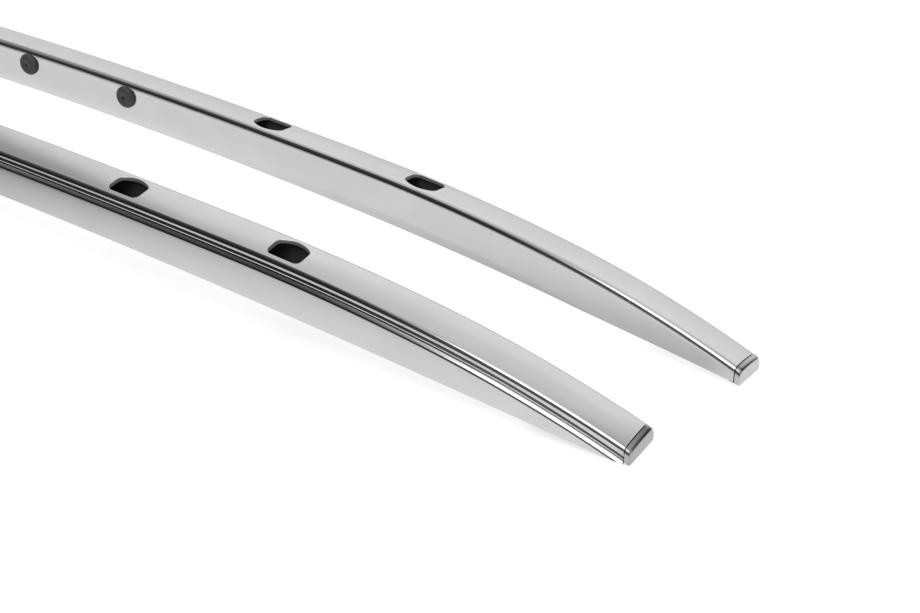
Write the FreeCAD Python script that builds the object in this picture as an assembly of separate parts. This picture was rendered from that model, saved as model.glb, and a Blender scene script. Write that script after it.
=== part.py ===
"""Roof side rail pair: two mirrored roof rails for an estate car or a large 4x4.

Each rail is one bent and anodised aluminium extrusion. Its head is a closed box with a grooved
outer side, and two legs under the box are trimmed to the curve of the roof, so the rail runs out
to almost nothing at its ends. A moulded cap closes each end, rubber buffers sit in a row along
the middle of the inner side, and a moulded spacer sits under the box at each access hole.

Lengths are in millimetres. +X runs along the rails, +Z is up, and the rails lie on either side
of the XZ plane. A section is drawn with "across" measured outwards from the inner top corner and
"up" measured from that same corner, so points inside the rail have a negative up.
"""

import FreeCAD
import Part
import math
import os

# Layout of the pair
RAIL_LENGTH = 1820.0
RAIL_GAP = 139.0
STAGGER = 22.0

# Side view of a rail: the top edge is a chain of tangent arcs, and the foot follows the roof
RAIL_HEIGHT = 45.4
TOP_RADIUS = 8950.0
EASE_RADIUS = 2020.0
EASE_RUN = 385.0
NOSE_RADIUS = 1095.0
NOSE_RUN = 191.0
ROOF_RADIUS = 7716.0
ROOF_CAMBER = 4.6

# Plan view: a gentle bow that tightens towards the ends
BOW_RADIUS = 35000.0
BOW_END_RADIUS = 17800.0
BOW_END_RUN = 470.0

# Section of the extrusion
TOP_WIDTH = 39.2
TOP_FALL = 4.6
TOP_CROWN = 1.2
INNER_EDGE_RADIUS = 5.0
OUTER_EDGE_RADIUS = 5.0
LIP_HEIGHT = 0.3
LIP_UNDERCUT = 0.8
GROOVE_HEIGHT = 4.3
GROOVE_DEPTH = 1.4
BEAD_HEIGHT = 1.2
SLOT_HEIGHT = 1.0
SLOT_DEPTH = 0.8
SHOULDER_WIDTH = 2.0
SHOULDER_LEAN = 36.0
SHOULDER_RADIUS = 3.4
SKIRT_LEAN = 6.0
SKIRT_RADIUS = 190.0
WALL = 2.4
BOX_DEPTH = 36.0
SIDE_FLAT = 38.0
LEG_BEVEL = 18.0
LEG_REACH = 60.0

# Access holes in the top wall, and the fixing holes under them
HOLE_SPOTS = (341.0, 525.0)
HOLE_LENGTH = 36.0
HOLE_OUTER = 33.0
HOLE_INNER = 14.0
HOLE_BULGE = 6.5
HOLE_CORNER = 4.8
BOLT_HOLE = 9.0

# Rubber buffers on the inner side
BUFFER_COUNT = 4
BUFFER_PITCH = 139.5
BUFFER_DROP = 16.0
BUFFER_RIM = 23.0
BUFFER_RIM_EDGE = 1.0
BUFFER_FACE = 15.0
BUFFER_HEIGHT = 5.0
BUFFER_DISH = 0.5
BUFFER_EYE = 3.2
BUFFER_EYE_DEPTH = 3.5
BUFFER_STEM = 12.0
BUFFER_BARB = 13.6
BUFFER_BARB_LENGTH = 2.2
BUFFER_SEAT_GAP = 0.1
STEM_CLEARANCE = 0.2

# End caps
CAP_LENGTH = 6.0
CAP_DROP = 30.0
CAP_PROUD = 0.3
CAP_SEAM_WIDTH = 0.7
CAP_SEAM_DEPTH = 0.5
CAP_TOP_ROUND = 1.4
CAP_OUTER_ROUND = 5.5
CAP_INNER_ROUND = 1.0
CAP_FOOT_STEP = 0.8
CAP_FOOT_RUN = 3.0
TONGUE_LENGTH = 22.0
TONGUE_WALL = 2.0
TONGUE_CLEARANCE = 0.5

# Spacers under the box
SPACER_LENGTH = 44.0
SPACER_CLEARANCE = 0.4

# How finely the bent path and the caps' rounding are sampled, and how far the raw bar runs past each end
PATH_SPANS = 36
CAP_STEPS = 10
BAR_SPARE = 40.0
FAR = 300.0

UP = FreeCAD.Vector(0, 0, 1)
ALONG = FreeCAD.Vector(1, 0, 0)
ACROSS = FreeCAD.Vector(0, 1, 0)
HALF = RAIL_LENGTH / 2


def arc_fall(distance, radii, ends):
    """How far a chain of tangent arcs has fallen at a distance from its level middle.

    radii holds the arcs from the middle outwards, and ends the distance where each one stops.
    """
    centre = 0.0
    level = -radii[0]
    for i in range(len(ends)):
        if distance <= ends[i]:
            return -(level + math.sqrt(radii[i] ** 2 - (distance - centre) ** 2))
        lean = math.asin((ends[i] - centre) / radii[i])
        centre += (radii[i] - radii[i + 1]) * math.sin(lean)
        level += (radii[i] - radii[i + 1]) * math.cos(lean)
    return -(level + math.sqrt(radii[-1] ** 2 - (distance - centre) ** 2))


def top_level(x):
    """Height of the rail's inner top corner."""
    radii = (TOP_RADIUS, EASE_RADIUS, NOSE_RADIUS)
    ends = (HALF - EASE_RUN, HALF - NOSE_RUN)
    return RAIL_HEIGHT - arc_fall(abs(x), radii, ends)


def inner_edge(x):
    """Distance of the inner top corner from the XZ plane."""
    return RAIL_GAP / 2 - arc_fall(abs(x), (BOW_RADIUS, BOW_END_RADIUS), (HALF - BOW_END_RUN,))


def slope(curve, x):
    """Slope of a path curve at x."""
    step = 0.5
    return (curve(x + step) - curve(x - step)) / (2 * step)


def path_point(x):
    return FreeCAD.Vector(x, inner_edge(x), top_level(x))


def bent_path():
    """The line of the inner top corner from one end of the raw bar to the other."""
    start = -HALF - BAR_SPARE
    pitch = (RAIL_LENGTH + 2 * BAR_SPARE) / PATH_SPANS
    points = [path_point(start + i * pitch) for i in range(PATH_SPANS + 1)]
    curve = Part.BSplineCurve()
    curve.interpolate(points)
    return Part.Wire(curve.toShape())


def crown_circle():
    """Centre and radius of the slightly crowned top face, through both top corners."""
    chord = math.hypot(TOP_WIDTH, TOP_FALL)
    radius = chord ** 2 / (8 * TOP_CROWN) + TOP_CROWN / 2
    depth = radius - TOP_CROWN
    middle = (TOP_WIDTH / 2, -TOP_FALL / 2)
    normal = (TOP_FALL / chord, TOP_WIDTH / chord)
    return (middle[0] - normal[0] * depth, middle[1] - normal[1] * depth), radius


def edge_round(side, radius, inset=0.0):
    """A rounded top edge between the crown and an upright side: centre, crown point, side point.

    side is 0 for the inner edge and TOP_WIDTH for the outer one.
    """
    (cx, cz), crown = crown_circle()
    crown -= inset
    inward = 1.0 if side == 0 else -1.0
    mx = side + inward * (inset + radius)
    mz = cz + math.sqrt((crown - radius) ** 2 - (mx - cx) ** 2)
    reach = math.hypot(mx - cx, mz - cz)
    touch = (cx + (mx - cx) * crown / reach, cz + (mz - cz) * crown / reach)
    lean = math.pi / 4
    bulge = (mx - inward * radius * math.cos(lean), mz + radius * math.sin(lean))
    return touch, bulge, (side + inward * inset, mz)


def crown_middle(inset=0.0):
    (cx, cz), crown = crown_circle()
    chord = math.hypot(TOP_WIDTH, TOP_FALL)
    reach = crown - inset
    return (cx + TOP_FALL / chord * reach, cz + TOP_WIDTH / chord * reach)


def groove_levels():
    """Up values down the outer side: groove top, groove foot, slot top and shoulder top."""
    groove_top = edge_round(TOP_WIDTH, OUTER_EDGE_RADIUS)[2][1] - LIP_HEIGHT
    groove_foot = groove_top - GROOVE_HEIGHT
    slot_top = groove_foot - BEAD_HEIGHT
    return groove_top, groove_foot, slot_top, slot_top - SLOT_HEIGHT


def outward(centre, radius, degrees):
    """The point at a radius from a centre, in a direction raised by so many degrees."""
    lean = math.radians(degrees)
    return (centre[0] + radius * math.cos(lean), centre[1] + radius * math.sin(lean))


def shoulder_tip():
    fall = SHOULDER_WIDTH * math.tan(math.radians(SHOULDER_LEAN))
    return (TOP_WIDTH + SHOULDER_WIDTH, groove_levels()[3] - fall)


def shoulder_arc():
    """The rounded edge between the shoulder's slope and the skirt: tip, bulge and skirt start."""
    steep = 90 - SHOULDER_LEAN
    centre = outward(shoulder_tip(), -SHOULDER_RADIUS, steep)
    bulge = outward(centre, SHOULDER_RADIUS, (steep + SKIRT_LEAN) / 2)
    return shoulder_tip(), bulge, outward(centre, SHOULDER_RADIUS, SKIRT_LEAN)


def skirt_arc(reach=LEG_REACH):
    """The slightly bellied skirt: its start under the shoulder, its middle and its lower end."""
    start = shoulder_arc()[2]
    centre = outward(start, -SKIRT_RADIUS, SKIRT_LEAN)
    foot = math.degrees(math.asin((-reach - centre[1]) / SKIRT_RADIUS))
    middle = outward(centre, SKIRT_RADIUS, (SKIRT_LEAN + foot) / 2)
    return start, middle, outward(centre, SKIRT_RADIUS, foot)


def leg_inset(up):
    """How far the inner leg's outer face has moved outwards at a given up."""
    return max(0.0, -SIDE_FLAT - up) * math.tan(math.radians(LEG_BEVEL))


def skirt_inside():
    """Across value of the outer leg's flat inner face."""
    return skirt_arc()[0][0] - WALL


def bar_outline():
    """The closed outline of the extrusion: box, groove, bead, slot, shoulder, skirt and inner leg."""
    touch_in, bulge_in, side_in = edge_round(0, INNER_EDGE_RADIUS)
    touch_out, bulge_out, side_out = edge_round(TOP_WIDTH, OUTER_EDGE_RADIUS)
    groove_top, groove_foot, slot_top, shoulder_top = groove_levels()
    undercut = (TOP_WIDTH - LIP_UNDERCUT, groove_top - LIP_UNDERCUT * 3 / 4)
    groove_back = (TOP_WIDTH - GROOVE_DEPTH, groove_top - GROOVE_HEIGHT / 3)
    slot_face = TOP_WIDTH - SLOT_DEPTH
    skirt_start, skirt_middle, skirt_foot = skirt_arc()
    leg_foot = leg_inset(-LEG_REACH)
    return [
        ("line", (leg_foot, -LEG_REACH), (0, -SIDE_FLAT)),
        ("line", (0, -SIDE_FLAT), side_in),
        ("arc", side_in, bulge_in, touch_in),
        ("arc", touch_in, crown_middle(), touch_out),
        ("arc", touch_out, bulge_out, side_out),
        ("line", side_out, (TOP_WIDTH, groove_top)),
        ("line", (TOP_WIDTH, groove_top), undercut),
        ("arc", undercut, groove_back, (TOP_WIDTH, groove_foot)),
        ("line", (TOP_WIDTH, groove_foot), (TOP_WIDTH, slot_top)),
        ("line", (TOP_WIDTH, slot_top), (slot_face, slot_top)),
        ("line", (slot_face, slot_top), (slot_face, shoulder_top)),
        ("line", (slot_face, shoulder_top), (TOP_WIDTH, shoulder_top)),
        ("line", (TOP_WIDTH, shoulder_top), shoulder_tip()),
        ("arc",) + shoulder_arc(),
        ("arc", skirt_start, skirt_middle, skirt_foot),
        ("line", skirt_foot, (skirt_inside(), -LEG_REACH)),
        ("line", (skirt_inside(), -LEG_REACH), (skirt_inside(), -BOX_DEPTH)),
        ("line", (skirt_inside(), -BOX_DEPTH), (WALL, -BOX_DEPTH)),
        ("line", (WALL, -BOX_DEPTH), (WALL, -SIDE_FLAT)),
        ("line", (WALL, -SIDE_FLAT), (leg_foot + WALL, -LEG_REACH)),
        ("line", (leg_foot + WALL, -LEG_REACH), (leg_foot, -LEG_REACH)),
    ]


def chamber_points(inset=0.0, foot=None):
    """The hollow of the box, drawn smaller by inset on every side."""
    gap = WALL + inset
    neck = TOP_WIDTH - GROOVE_DEPTH - gap
    skirt = skirt_inside() - inset
    fall = TOP_FALL / TOP_WIDTH
    floor = -BOX_DEPTH + WALL + inset if foot is None else foot
    return [
        (gap, floor),
        (gap, -gap - gap * fall),
        (neck, -gap - neck * fall),
        (neck, groove_levels()[3] - gap),
        (skirt, skirt_arc()[0][1] - gap),
        (skirt, floor),
    ]


def closed_polygon(points):
    return [("line", points[i - 1], points[i]) for i in range(len(points))]


def section_wire(segments, place):
    """Turns drawn segments into a wire, with place mapping (across, up) to a point in space."""
    edges = []
    for segment in segments:
        points = [place(across, up) for across, up in segment[1:]]
        if segment[0] == "arc":
            edges.append(Part.Arc(*points).toShape())
        else:
            edges.append(Part.LineSegment(*points).toShape())
    return Part.Wire(edges)


def at_bar_start(across, up):
    """A section point at the start of the raw bar, square to the path in the side view."""
    x = -HALF - BAR_SPARE
    lean = math.atan(slope(top_level, x))
    rise = FreeCAD.Vector(-math.sin(lean), 0, math.cos(lean))
    return path_point(x) + ACROSS * across + rise * up


def swept(segments):
    """Sweeps a section along the bent path, with its across direction kept along Y."""
    pipe = Part.BRepOffsetAPI.MakePipeShell(bent_path())
    pipe.setBiNormalMode(ACROSS)
    pipe.add(section_wire(segments, at_bar_start), False, False)
    pipe.build()
    pipe.makeSolid()
    return pipe.shape()


def roof_body(lowered=0.0):
    """The roof under a rail: a long cylinder that leans outwards by the roof's camber."""
    lean = math.radians(ROOF_CAMBER)
    axis = FreeCAD.Vector(0, math.cos(lean), -math.sin(lean))
    crest = FreeCAD.Vector(0, RAIL_GAP / 2, -lowered)
    down = FreeCAD.Vector(0, -math.sin(lean), -math.cos(lean))
    base = crest + down * ROOF_RADIUS - axis * FAR
    return Part.makeCylinder(ROOF_RADIUS, 2 * FAR, base, axis)


def slab(low_x, high_x):
    """Everything between two upright planes across the rail."""
    corner = FreeCAD.Vector(low_x, -FAR, -RAIL_LENGTH)
    return Part.makeBox(high_x - low_x, RAIL_GAP + 2 * FAR, 2 * RAIL_LENGTH, corner)


def turned_to_path(shape, x):
    """Turns a piece drawn along X so that it follows the bow at x, about its place there."""
    turned = shape.copy()
    turned.rotate(FreeCAD.Vector(x, inner_edge(x), 0), UP, math.degrees(math.atan(slope(inner_edge, x))))
    return turned


def hole_places():
    """X of each access hole, from the rear end to the front one."""
    rear = [-HALF + spot for spot in HOLE_SPOTS]
    front = [HALF - spot for spot in reversed(HOLE_SPOTS)]
    return rear + front


def buffer_places():
    first = -BUFFER_PITCH * (BUFFER_COUNT - 1) / 2
    return [first + i * BUFFER_PITCH for i in range(BUFFER_COUNT)]


def access_cutter(x):
    """The punch for one access hole: straight on the outer side, arched on the inner one."""
    y = inner_edge(x)
    half = HOLE_LENGTH / 2
    depth = WALL + TOP_FALL + BOX_DEPTH / 4
    low = top_level(x) - depth

    def spot(along, across):
        return FreeCAD.Vector(x + along, y + across, low)

    outer = Part.LineSegment(spot(-half, HOLE_OUTER), spot(half, HOLE_OUTER)).toShape()
    front = Part.LineSegment(spot(half, HOLE_OUTER), spot(half, HOLE_INNER)).toShape()
    arch = Part.Arc(spot(half, HOLE_INNER), spot(0, HOLE_INNER - HOLE_BULGE), spot(-half, HOLE_INNER)).toShape()
    rear = Part.LineSegment(spot(-half, HOLE_INNER), spot(-half, HOLE_OUTER)).toShape()
    punch = Part.Face(Part.Wire([outer, front, arch, rear])).extrude(UP * (depth + BOX_DEPTH / 4))
    upright = [edge for edge in punch.Edges if abs(edge.tangentAt(edge.FirstParameter).z) > 0.99]
    return turned_to_path(punch.makeFillet(HOLE_CORNER, upright), x)


def bolt_cutter(x):
    """The drill for the fixing hole, through the web and the spacer under one access hole."""
    y = inner_edge(x) + bolt_across()
    base = FreeCAD.Vector(x, y, top_level(x) - 2 * LEG_REACH)
    return Part.makeCylinder(BOLT_HOLE / 2, 2 * LEG_REACH - BOX_DEPTH / 2, base, UP)


def bolt_across():
    """A fixing hole lies under the middle of its access hole's straight part."""
    return (HOLE_OUTER + HOLE_INNER - HOLE_BULGE / 2) / 2


def stem_cutter(x):
    """The hole in the inner wall for a buffer's stem."""
    base = FreeCAD.Vector(x, inner_edge(x) - WALL, top_level(x) - BUFFER_DROP)
    bore = Part.makeCylinder(BUFFER_STEM / 2 + STEM_CLEARANCE, 3 * WALL, base, ACROSS)
    return turned_to_path(bore, x)


def make_rail():
    bar = swept(bar_outline()).cut(swept(closed_polygon(chamber_points())))
    rail = bar.common(slab(-HALF, HALF)).cut(roof_body())
    cutters = [access_cutter(x) for x in hole_places()]
    cutters += [bolt_cutter(x) for x in hole_places()]
    cutters += [stem_cutter(x) for x in buffer_places()]
    return rail.cut(Part.makeCompound(cutters))


def make_buffer(x):
    """A rubber buffer: a domed button with a small eye, and a barbed stem through the wall."""
    y = -BUFFER_SEAT_GAP
    face = -BUFFER_HEIGHT
    barb_start = WALL + STEM_CLEARANCE
    barb_end = barb_start + BUFFER_BARB_LENGTH
    rim = BUFFER_RIM / 2
    stem = BUFFER_STEM / 2

    def spot(radius, inward):
        return FreeCAD.Vector(radius, inward, 0)

    shoulder = spot((rim + BUFFER_FACE / 2) / 2 + BUFFER_DISH, (face - BUFFER_RIM_EDGE) / 2 - 2 * BUFFER_DISH)
    profile = [
        Part.LineSegment(spot(0, barb_end), spot(stem - BUFFER_DISH, barb_end)),
        Part.LineSegment(spot(stem - BUFFER_DISH, barb_end), spot(BUFFER_BARB / 2, barb_start)),
        Part.LineSegment(spot(BUFFER_BARB / 2, barb_start), spot(stem, barb_start)),
        Part.LineSegment(spot(stem, barb_start), spot(stem, y)),
        Part.LineSegment(spot(stem, y), spot(rim, y)),
        Part.LineSegment(spot(rim, y), spot(rim, -BUFFER_RIM_EDGE)),
        Part.Arc(spot(rim, -BUFFER_RIM_EDGE), shoulder, spot(BUFFER_FACE / 2, face)),
        Part.LineSegment(spot(BUFFER_FACE / 2, face), spot(BUFFER_EYE / 2, face + BUFFER_DISH)),
        Part.LineSegment(spot(BUFFER_EYE / 2, face + BUFFER_DISH), spot(BUFFER_EYE / 2, face + BUFFER_EYE_DEPTH)),
        Part.LineSegment(spot(BUFFER_EYE / 2, face + BUFFER_EYE_DEPTH), spot(0, face + BUFFER_EYE_DEPTH)),
        Part.LineSegment(spot(0, face + BUFFER_EYE_DEPTH), spot(0, barb_end)),
    ]
    wire = Part.Wire([segment.toShape() for segment in profile])
    button = Part.Face(wire).revolve(FreeCAD.Vector(0, 0, 0), ACROSS, 360)
    solid = Part.Solid(button) if button.ShapeType == "Shell" else button
    solid.translate(FreeCAD.Vector(x, inner_edge(x), top_level(x) - BUFFER_DROP))
    return turned_to_path(solid, x)


def make_spacer(x, channel):
    """A moulded spacer between the web and the roof, between the two legs."""
    block = channel.common(slab(x - SPACER_LENGTH / 2, x + SPACER_LENGTH / 2))
    return block.cut(roof_body()).cut(bolt_cutter(x))


def channel_points():
    """The space under the web between the legs, less the spacer's clearance."""
    inner = WALL + SPACER_CLEARANCE
    outer = skirt_inside() - SPACER_CLEARANCE
    return [
        (inner + leg_inset(-LEG_REACH), -LEG_REACH),
        (inner, -SIDE_FLAT),
        (inner, -BOX_DEPTH),
        (outer, -BOX_DEPTH),
        (outer, -LEG_REACH),
    ]


def nose_slope():
    return slope(top_level, HALF)


def cap_outline():
    """The plain outline of an end cap: the rail's own outline without the groove and the slot."""
    touch_in, bulge_in, side_in = edge_round(0, INNER_EDGE_RADIUS)
    touch_out, bulge_out, side_out = edge_round(TOP_WIDTH, OUTER_EDGE_RADIUS)
    shoulder_crest = (TOP_WIDTH, groove_levels()[3])
    return [
        ("line", (0, -CAP_DROP), side_in),
        ("arc", side_in, bulge_in, touch_in),
        ("arc", touch_in, crown_middle(), touch_out),
        ("arc", touch_out, bulge_out, side_out),
        ("line", side_out, shoulder_crest),
        ("line", shoulder_crest, shoulder_tip()),
        ("arc",) + shoulder_arc(),
        ("arc",) + skirt_arc(CAP_DROP),
        ("line", skirt_arc(CAP_DROP)[2], (0, -CAP_DROP)),
    ]


def rounding(distance, run):
    """How far a rounded corner has turned in, from 0 to 1, at a distance past the seam."""
    past = distance - (CAP_LENGTH - run)
    if past <= 0:
        return 0.0
    return 1.0 - math.sqrt(max(0.0, 1.0 - (past / run) ** 2))


def cap_section(distance, proud):
    """One section of the cap's shell: it turns in at the top, the outer side and the inner side."""
    width = skirt_arc()[0][0]
    inner = CAP_INNER_ROUND * rounding(distance, CAP_INNER_ROUND) - proud
    outer = CAP_OUTER_ROUND * rounding(distance, CAP_OUTER_ROUND) - proud
    drop = CAP_TOP_ROUND * rounding(distance, CAP_TOP_ROUND) - proud - distance * nose_slope()
    squeeze = (width - inner - outer) / width
    stretch = math.hypot(1.0, nose_slope())

    def place(across, up):
        y = inner_edge(HALF) + inner + across * squeeze
        return FreeCAD.Vector(HALF + distance, y, top_level(HALF) + up * stretch - drop)

    return section_wire(cap_outline(), place)


def extruded_section(points, start, length):
    """A polygon section in the cap's seam plane, extruded along the nose of the rail."""
    stretch = math.hypot(1.0, nose_slope())
    direction = FreeCAD.Vector(1, slope(inner_edge, HALF), nose_slope())

    def place(across, up):
        y = inner_edge(HALF) + across
        return FreeCAD.Vector(HALF, y, top_level(HALF) + up * stretch) + direction * start

    return Part.Face(section_wire(closed_polygon(points), place)).extrude(direction * length)


def make_cap():
    """An end cap: a rounded shell, a foot that runs under the rail, and a tongue inside the box."""
    run = CAP_LENGTH - CAP_SEAM_WIDTH
    steps = [math.sin(math.pi / 2 * i / CAP_STEPS) for i in range(CAP_STEPS + 1)]
    shell = Part.makeLoft([cap_section(CAP_SEAM_WIDTH + run * s, CAP_PROUD) for s in steps], True, True)
    seam_ends = (0.0, 2 * CAP_SEAM_WIDTH)
    seam = Part.makeLoft([cap_section(distance, -CAP_SEAM_DEPTH) for distance in seam_ends], True, True)
    shell = shell.cut(roof_body(CAP_FOOT_STEP)).fuse(seam.cut(roof_body(CAP_FOOT_STEP)))
    side = skirt_arc()[0][0]
    envelope = [(-CAP_PROUD, -LEG_REACH), (-CAP_PROUD, 0), (TOP_WIDTH, 0)]
    envelope += [(side, -LEG_REACH / 2), (side, -LEG_REACH)]
    foot = extruded_section(envelope, -CAP_FOOT_RUN, CAP_FOOT_RUN + CAP_LENGTH / 2)
    foot = foot.common(slab(HALF - CAP_FOOT_RUN, HALF + CAP_LENGTH / 4))
    foot = foot.common(roof_body()).cut(roof_body(CAP_FOOT_STEP))
    outside = chamber_points(TONGUE_CLEARANCE, -LEG_REACH)
    hollow = chamber_points(TONGUE_CLEARANCE + TONGUE_WALL, -LEG_REACH)
    tongue = extruded_section(outside, -TONGUE_LENGTH, TONGUE_LENGTH + CAP_LENGTH / 4)
    tongue = tongue.cut(extruded_section(hollow, -2 * TONGUE_LENGTH, 2 * TONGUE_LENGTH))
    tongue = tongue.cut(roof_body(-TONGUE_CLEARANCE))
    tongue = tongue.common(slab(-HALF, HALF + CAP_LENGTH / 4))
    return shell.fuse(foot).fuse(tongue).removeSplitter()


def as_solids(shape):
    """The shape's solids alone, as one solid or as a compound of them."""
    solids = shape.Solids
    return solids[0] if len(solids) == 1 else Part.makeCompound(solids)


def both_ends(piece):
    """The piece at the front end and its mirror image at the rear end."""
    return {"front": piece, "rear": piece.mirror(FreeCAD.Vector(0, 0, 0), ALONG)}


def left_rail_pieces():
    """Every piece of the left rail, by its name without the side."""
    pieces = {"rail": make_rail()}
    for end, cap in both_ends(make_cap()).items():
        pieces["end_cap_" + end] = cap
    for number, x in enumerate(buffer_places(), 1):
        pieces["side_buffer_%d" % number] = make_buffer(x)
    channel = swept(closed_polygon(channel_points()))
    for number, x in enumerate(hole_places(), 1):
        pieces["roof_spacer_%d" % number] = make_spacer(x, channel)
    return pieces


def lowest_point(shape):
    points, _ = shape.tessellate(0.02)
    return min(point.z for point in points)


def main():
    os.makedirs("parts", exist_ok=True)
    left = left_rail_pieces()
    lift = -lowest_point(left["end_cap_front"])
    print("lift %.3f" % lift)
    for name, piece in left.items():
        base = as_solids(piece)
        mirrored = base.mirror(FreeCAD.Vector(0, 0, 0), ACROSS)
        for side, shape, shift in (("left", base, STAGGER / 2), ("right", mirrored, -STAGGER / 2)):
            placed = shape.copy()
            placed.translate(FreeCAD.Vector(shift, 0, lift))
            node = name.replace("rail", "rail_" + side) if name == "rail" else side + "_" + name
            print(node, placed.ShapeType, len(placed.Solids), placed.isValid(), round(placed.Volume, 1))
            placed.exportStep("parts/%s.step" % node)


main()
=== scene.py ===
import math

import bmesh
import bpy
import numpy as np
from mathutils import Matrix, Vector


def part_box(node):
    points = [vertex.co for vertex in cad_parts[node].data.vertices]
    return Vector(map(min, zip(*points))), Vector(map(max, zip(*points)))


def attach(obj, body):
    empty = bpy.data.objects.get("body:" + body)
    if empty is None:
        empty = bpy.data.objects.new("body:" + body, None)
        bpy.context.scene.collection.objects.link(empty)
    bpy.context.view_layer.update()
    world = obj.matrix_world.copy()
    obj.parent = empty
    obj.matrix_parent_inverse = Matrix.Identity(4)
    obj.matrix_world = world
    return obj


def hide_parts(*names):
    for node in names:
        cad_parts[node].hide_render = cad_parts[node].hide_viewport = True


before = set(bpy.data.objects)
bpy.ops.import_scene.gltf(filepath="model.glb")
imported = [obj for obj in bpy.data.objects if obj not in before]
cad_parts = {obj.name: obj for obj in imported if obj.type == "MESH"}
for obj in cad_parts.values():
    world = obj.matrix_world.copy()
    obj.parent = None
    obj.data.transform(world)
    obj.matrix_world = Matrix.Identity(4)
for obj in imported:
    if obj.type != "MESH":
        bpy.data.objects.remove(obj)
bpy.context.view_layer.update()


# The rail extrusions
# Each rail is one aluminium extrusion, bent in side view and in plan. Its foot is milled to the
# roof's curve, its top is punched for the socket wrench, and it is brushed and satin anodised.
MM = 0.001
rail_low, rail_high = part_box("rail_left")
RAIL_LENGTH = (rail_high[0] - rail_low[0]) / MM
HALF = RAIL_LENGTH / 2
STAGGER = (rail_high[0] + rail_low[0]) / MM
RAIL_GAP = 139.0
RAIL_HEIGHT = 45.4
TOP_RADII = (8950.0, 2020.0, 1095.0)
TOP_ENDS = (HALF - 385.0, HALF - 191.0)
BOW_RADII = (35000.0, 17800.0)
BOW_ENDS = (HALF - 470.0,)
PATH_SPARE = 80.0
PATH_POINTS = 4001
ROOF_RADIUS = 7716.0
ROOF_CAMBER = math.radians(4.6)

TOP_WIDTH = 39.2
TOP_FALL = 4.6
TOP_CROWN = 1.2
INNER_EDGE_RADIUS = 5.4
INNER_EASE_RADIUS = 14.0
INNER_EASE_ANGLE = math.radians(12.0)
OUTER_EDGE_RADIUS = 5.0
LIP_HEIGHT = 1.0
LIP_UNDERCUT = 0.8
GROOVE_HEIGHT = 3.6
GROOVE_DEPTH = 1.2
GROOVE_ROOF_BULGE = (-0.1, 0.08)
GROOVE_FLANK_BULGE = (-0.2, -0.1)
BEAD_HEIGHT = 1.2
SLOT_HEIGHT = 1.0
SLOT_DEPTH = 0.8
SHOULDER_WIDTH = 2.0
SHOULDER_LEAN = math.radians(36.0)
SHOULDER_RADIUS = 3.4
SKIRT_LEAN = math.radians(6.0)
SKIRT_RADIUS = 190.0
WALL = 2.4
BOX_DEPTH = 36.0
SIDE_FLAT = 38.0
SIDE_PITCH = 3.0
LEG_BEVEL = math.radians(18.0)
LEG_REACH = 60.0
CORNER_SOFTNESS = 0.25
CORNER_SHARE = 0.45
NEARLY_STRAIGHT = math.radians(168)


def arc_fall(distance, radii, ends):
    """How far a chain of tangent arcs has fallen at a distance from its level middle."""
    centre = 0.0
    level = -radii[0]
    for i in range(len(ends)):
        if distance <= ends[i]:
            return -(level + math.sqrt(radii[i] ** 2 - (distance - centre) ** 2))
        lean = math.asin((ends[i] - centre) / radii[i])
        centre += (radii[i] - radii[i + 1]) * math.sin(lean)
        level += (radii[i] - radii[i + 1]) * math.cos(lean)
    return -(level + math.sqrt(radii[-1] ** 2 - (distance - centre) ** 2))


path_x = np.linspace(-HALF - PATH_SPARE, HALF + PATH_SPARE, PATH_POINTS)
path_top = np.array([RAIL_HEIGHT - arc_fall(abs(x), TOP_RADII, TOP_ENDS) for x in path_x])
path_inner = np.array([RAIL_GAP / 2 - arc_fall(abs(x), BOW_RADII, BOW_ENDS) for x in path_x])
path_lean = np.arctan(np.gradient(path_top, path_x))


def top_at(x):
    """Height of the rail's inner top edge at x."""
    return float(np.interp(x, path_x, path_top))


def inner_at(x):
    """Where the rail's inner side stands at x."""
    return float(np.interp(x, path_x, path_inner))


def on_section(x, across, up):
    """The point (y, z) of the swept section that lies in the upright plane at x."""
    along = x
    for _ in range(4):
        along = x + np.sin(np.interp(along, path_x, path_lean)) * up
    y = np.interp(along, path_x, path_inner) + across
    z = np.interp(along, path_x, path_top) + np.cos(np.interp(along, path_x, path_lean)) * up
    return y, z


def roof_height(x, y):
    """Height of the cambered roof at a point in plan, with its crest under the rail at zero."""
    crown = math.sqrt(ROOF_RADIUS ** 2 - x ** 2) - ROOF_RADIUS
    return (crown - (y - RAIL_GAP / 2) * math.sin(ROOF_CAMBER)) / math.cos(ROOF_CAMBER)


def crown_circle():
    """Centre and radius of the slightly crowned top face."""
    chord = math.hypot(TOP_WIDTH, TOP_FALL)
    radius = chord ** 2 / (8 * TOP_CROWN) + TOP_CROWN / 2
    depth = radius - TOP_CROWN
    return (TOP_WIDTH / 2 - TOP_FALL / chord * depth, -TOP_FALL / 2 - TOP_WIDTH / chord * depth), radius


def crown_up(across):
    """Level of the crowned top face at a distance across it."""
    (cx, cz), radius = crown_circle()
    return cz + np.sqrt(radius ** 2 - (across - cx) ** 2)


def arc_points(centre, radius, start, end, steps):
    """Points on an arc, from its start angle to its end angle."""
    angles = np.linspace(start, end, steps + 1)
    return [(centre[0] + radius * math.cos(a), centre[1] + radius * math.sin(a)) for a in angles]


def circle_points(centre, diameter):
    """A full circle of 40 points."""
    return arc_points(centre, diameter / 2, 0, 2 * math.pi, 40)[:-1]


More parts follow.
